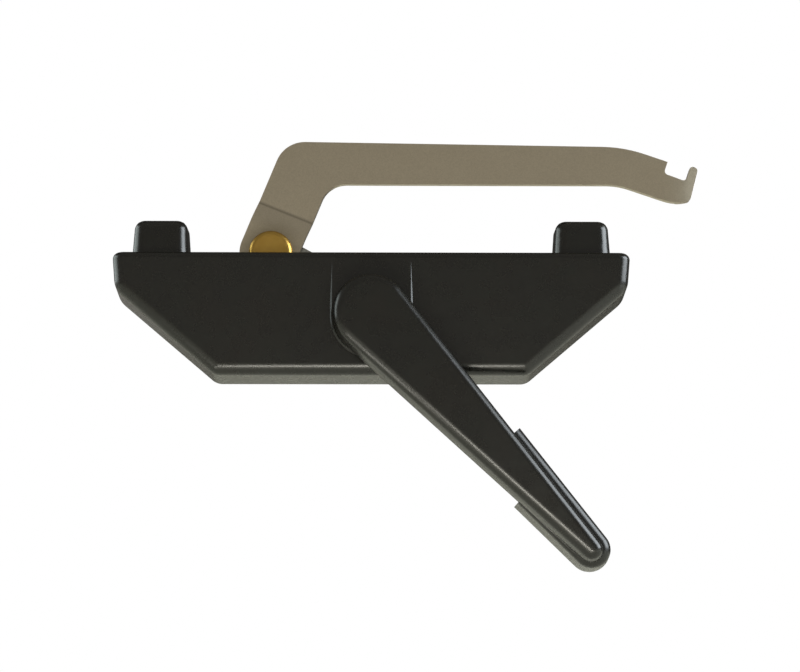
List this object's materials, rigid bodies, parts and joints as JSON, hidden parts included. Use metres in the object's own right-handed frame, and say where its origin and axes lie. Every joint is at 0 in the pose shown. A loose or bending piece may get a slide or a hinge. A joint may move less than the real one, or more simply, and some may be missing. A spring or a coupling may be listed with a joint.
{
  "type": "multipoint window lock",
  "caption": "Casement window lock: a boat-shaped cast cup with screw ears, and a lever whose crank slides a notched link arm that draws a tie bar.",
  "frame": {"origin": "middle of the mounting rim, in the plane of the rim's flat face", "axes": "+X along the rim, to the right as seen from the lever's side; +Y from the lever's side to the back; +Z out of the rim, into the window frame"},
  "size_m": [0.1455, 0.0274, 0.107],
  "materials": {
    "dark_bronze": "satin dark bronze coat on a zinc casting",
    "stainless": "fine-grained stamped stainless strip",
    "plated_steel": "zinc-plated steel",
    "brass": "turned, dull",
    "dark_plastic": "moulded acetal"
  },
  "bodies": {
    "housing": {"housing": "dark_bronze", "front_bush": "dark_plastic", "rear_bush": "dark_plastic", "friction_washer": "plated_steel", "thrust_washer": "plated_steel"},
    "handle": {"handle": "dark_bronze", "spindle": "plated_steel", "crank": "plated_steel", "retaining_ring": "plated_steel"},
    "rivet": {"pivot_rivet": "brass", "pivot_washer": "dark_plastic", "rivet_washer": "plated_steel"},
    "arm": {"link_arm": "stainless"}
  },
  "joints": [
    {"name": "handle_turn", "type": "hinge", "parent": "housing", "child": "handle", "pos_m": [0, 0, -0.0161], "axis": [0, 1, 0], "range_deg": [0, 126]},
    {"name": "rivet_turn", "type": "hinge", "parent": "handle", "child": "rivet", "pos_m": [-0.02485, 0, 0.00053], "axis": [0, 1, 0], "range_deg": [-126, 0]},
    {"name": "arm_swing", "type": "hinge", "parent": "rivet", "child": "arm", "pos_m": [-0.02485, 0, 0.00053], "axis": [0, 1, 0], "range_deg": [-42, 4]}
  ],
  "couplings": [
    {"joint": "rivet_turn", "follows": "handle_turn", "ratio": -1}
  ]
}
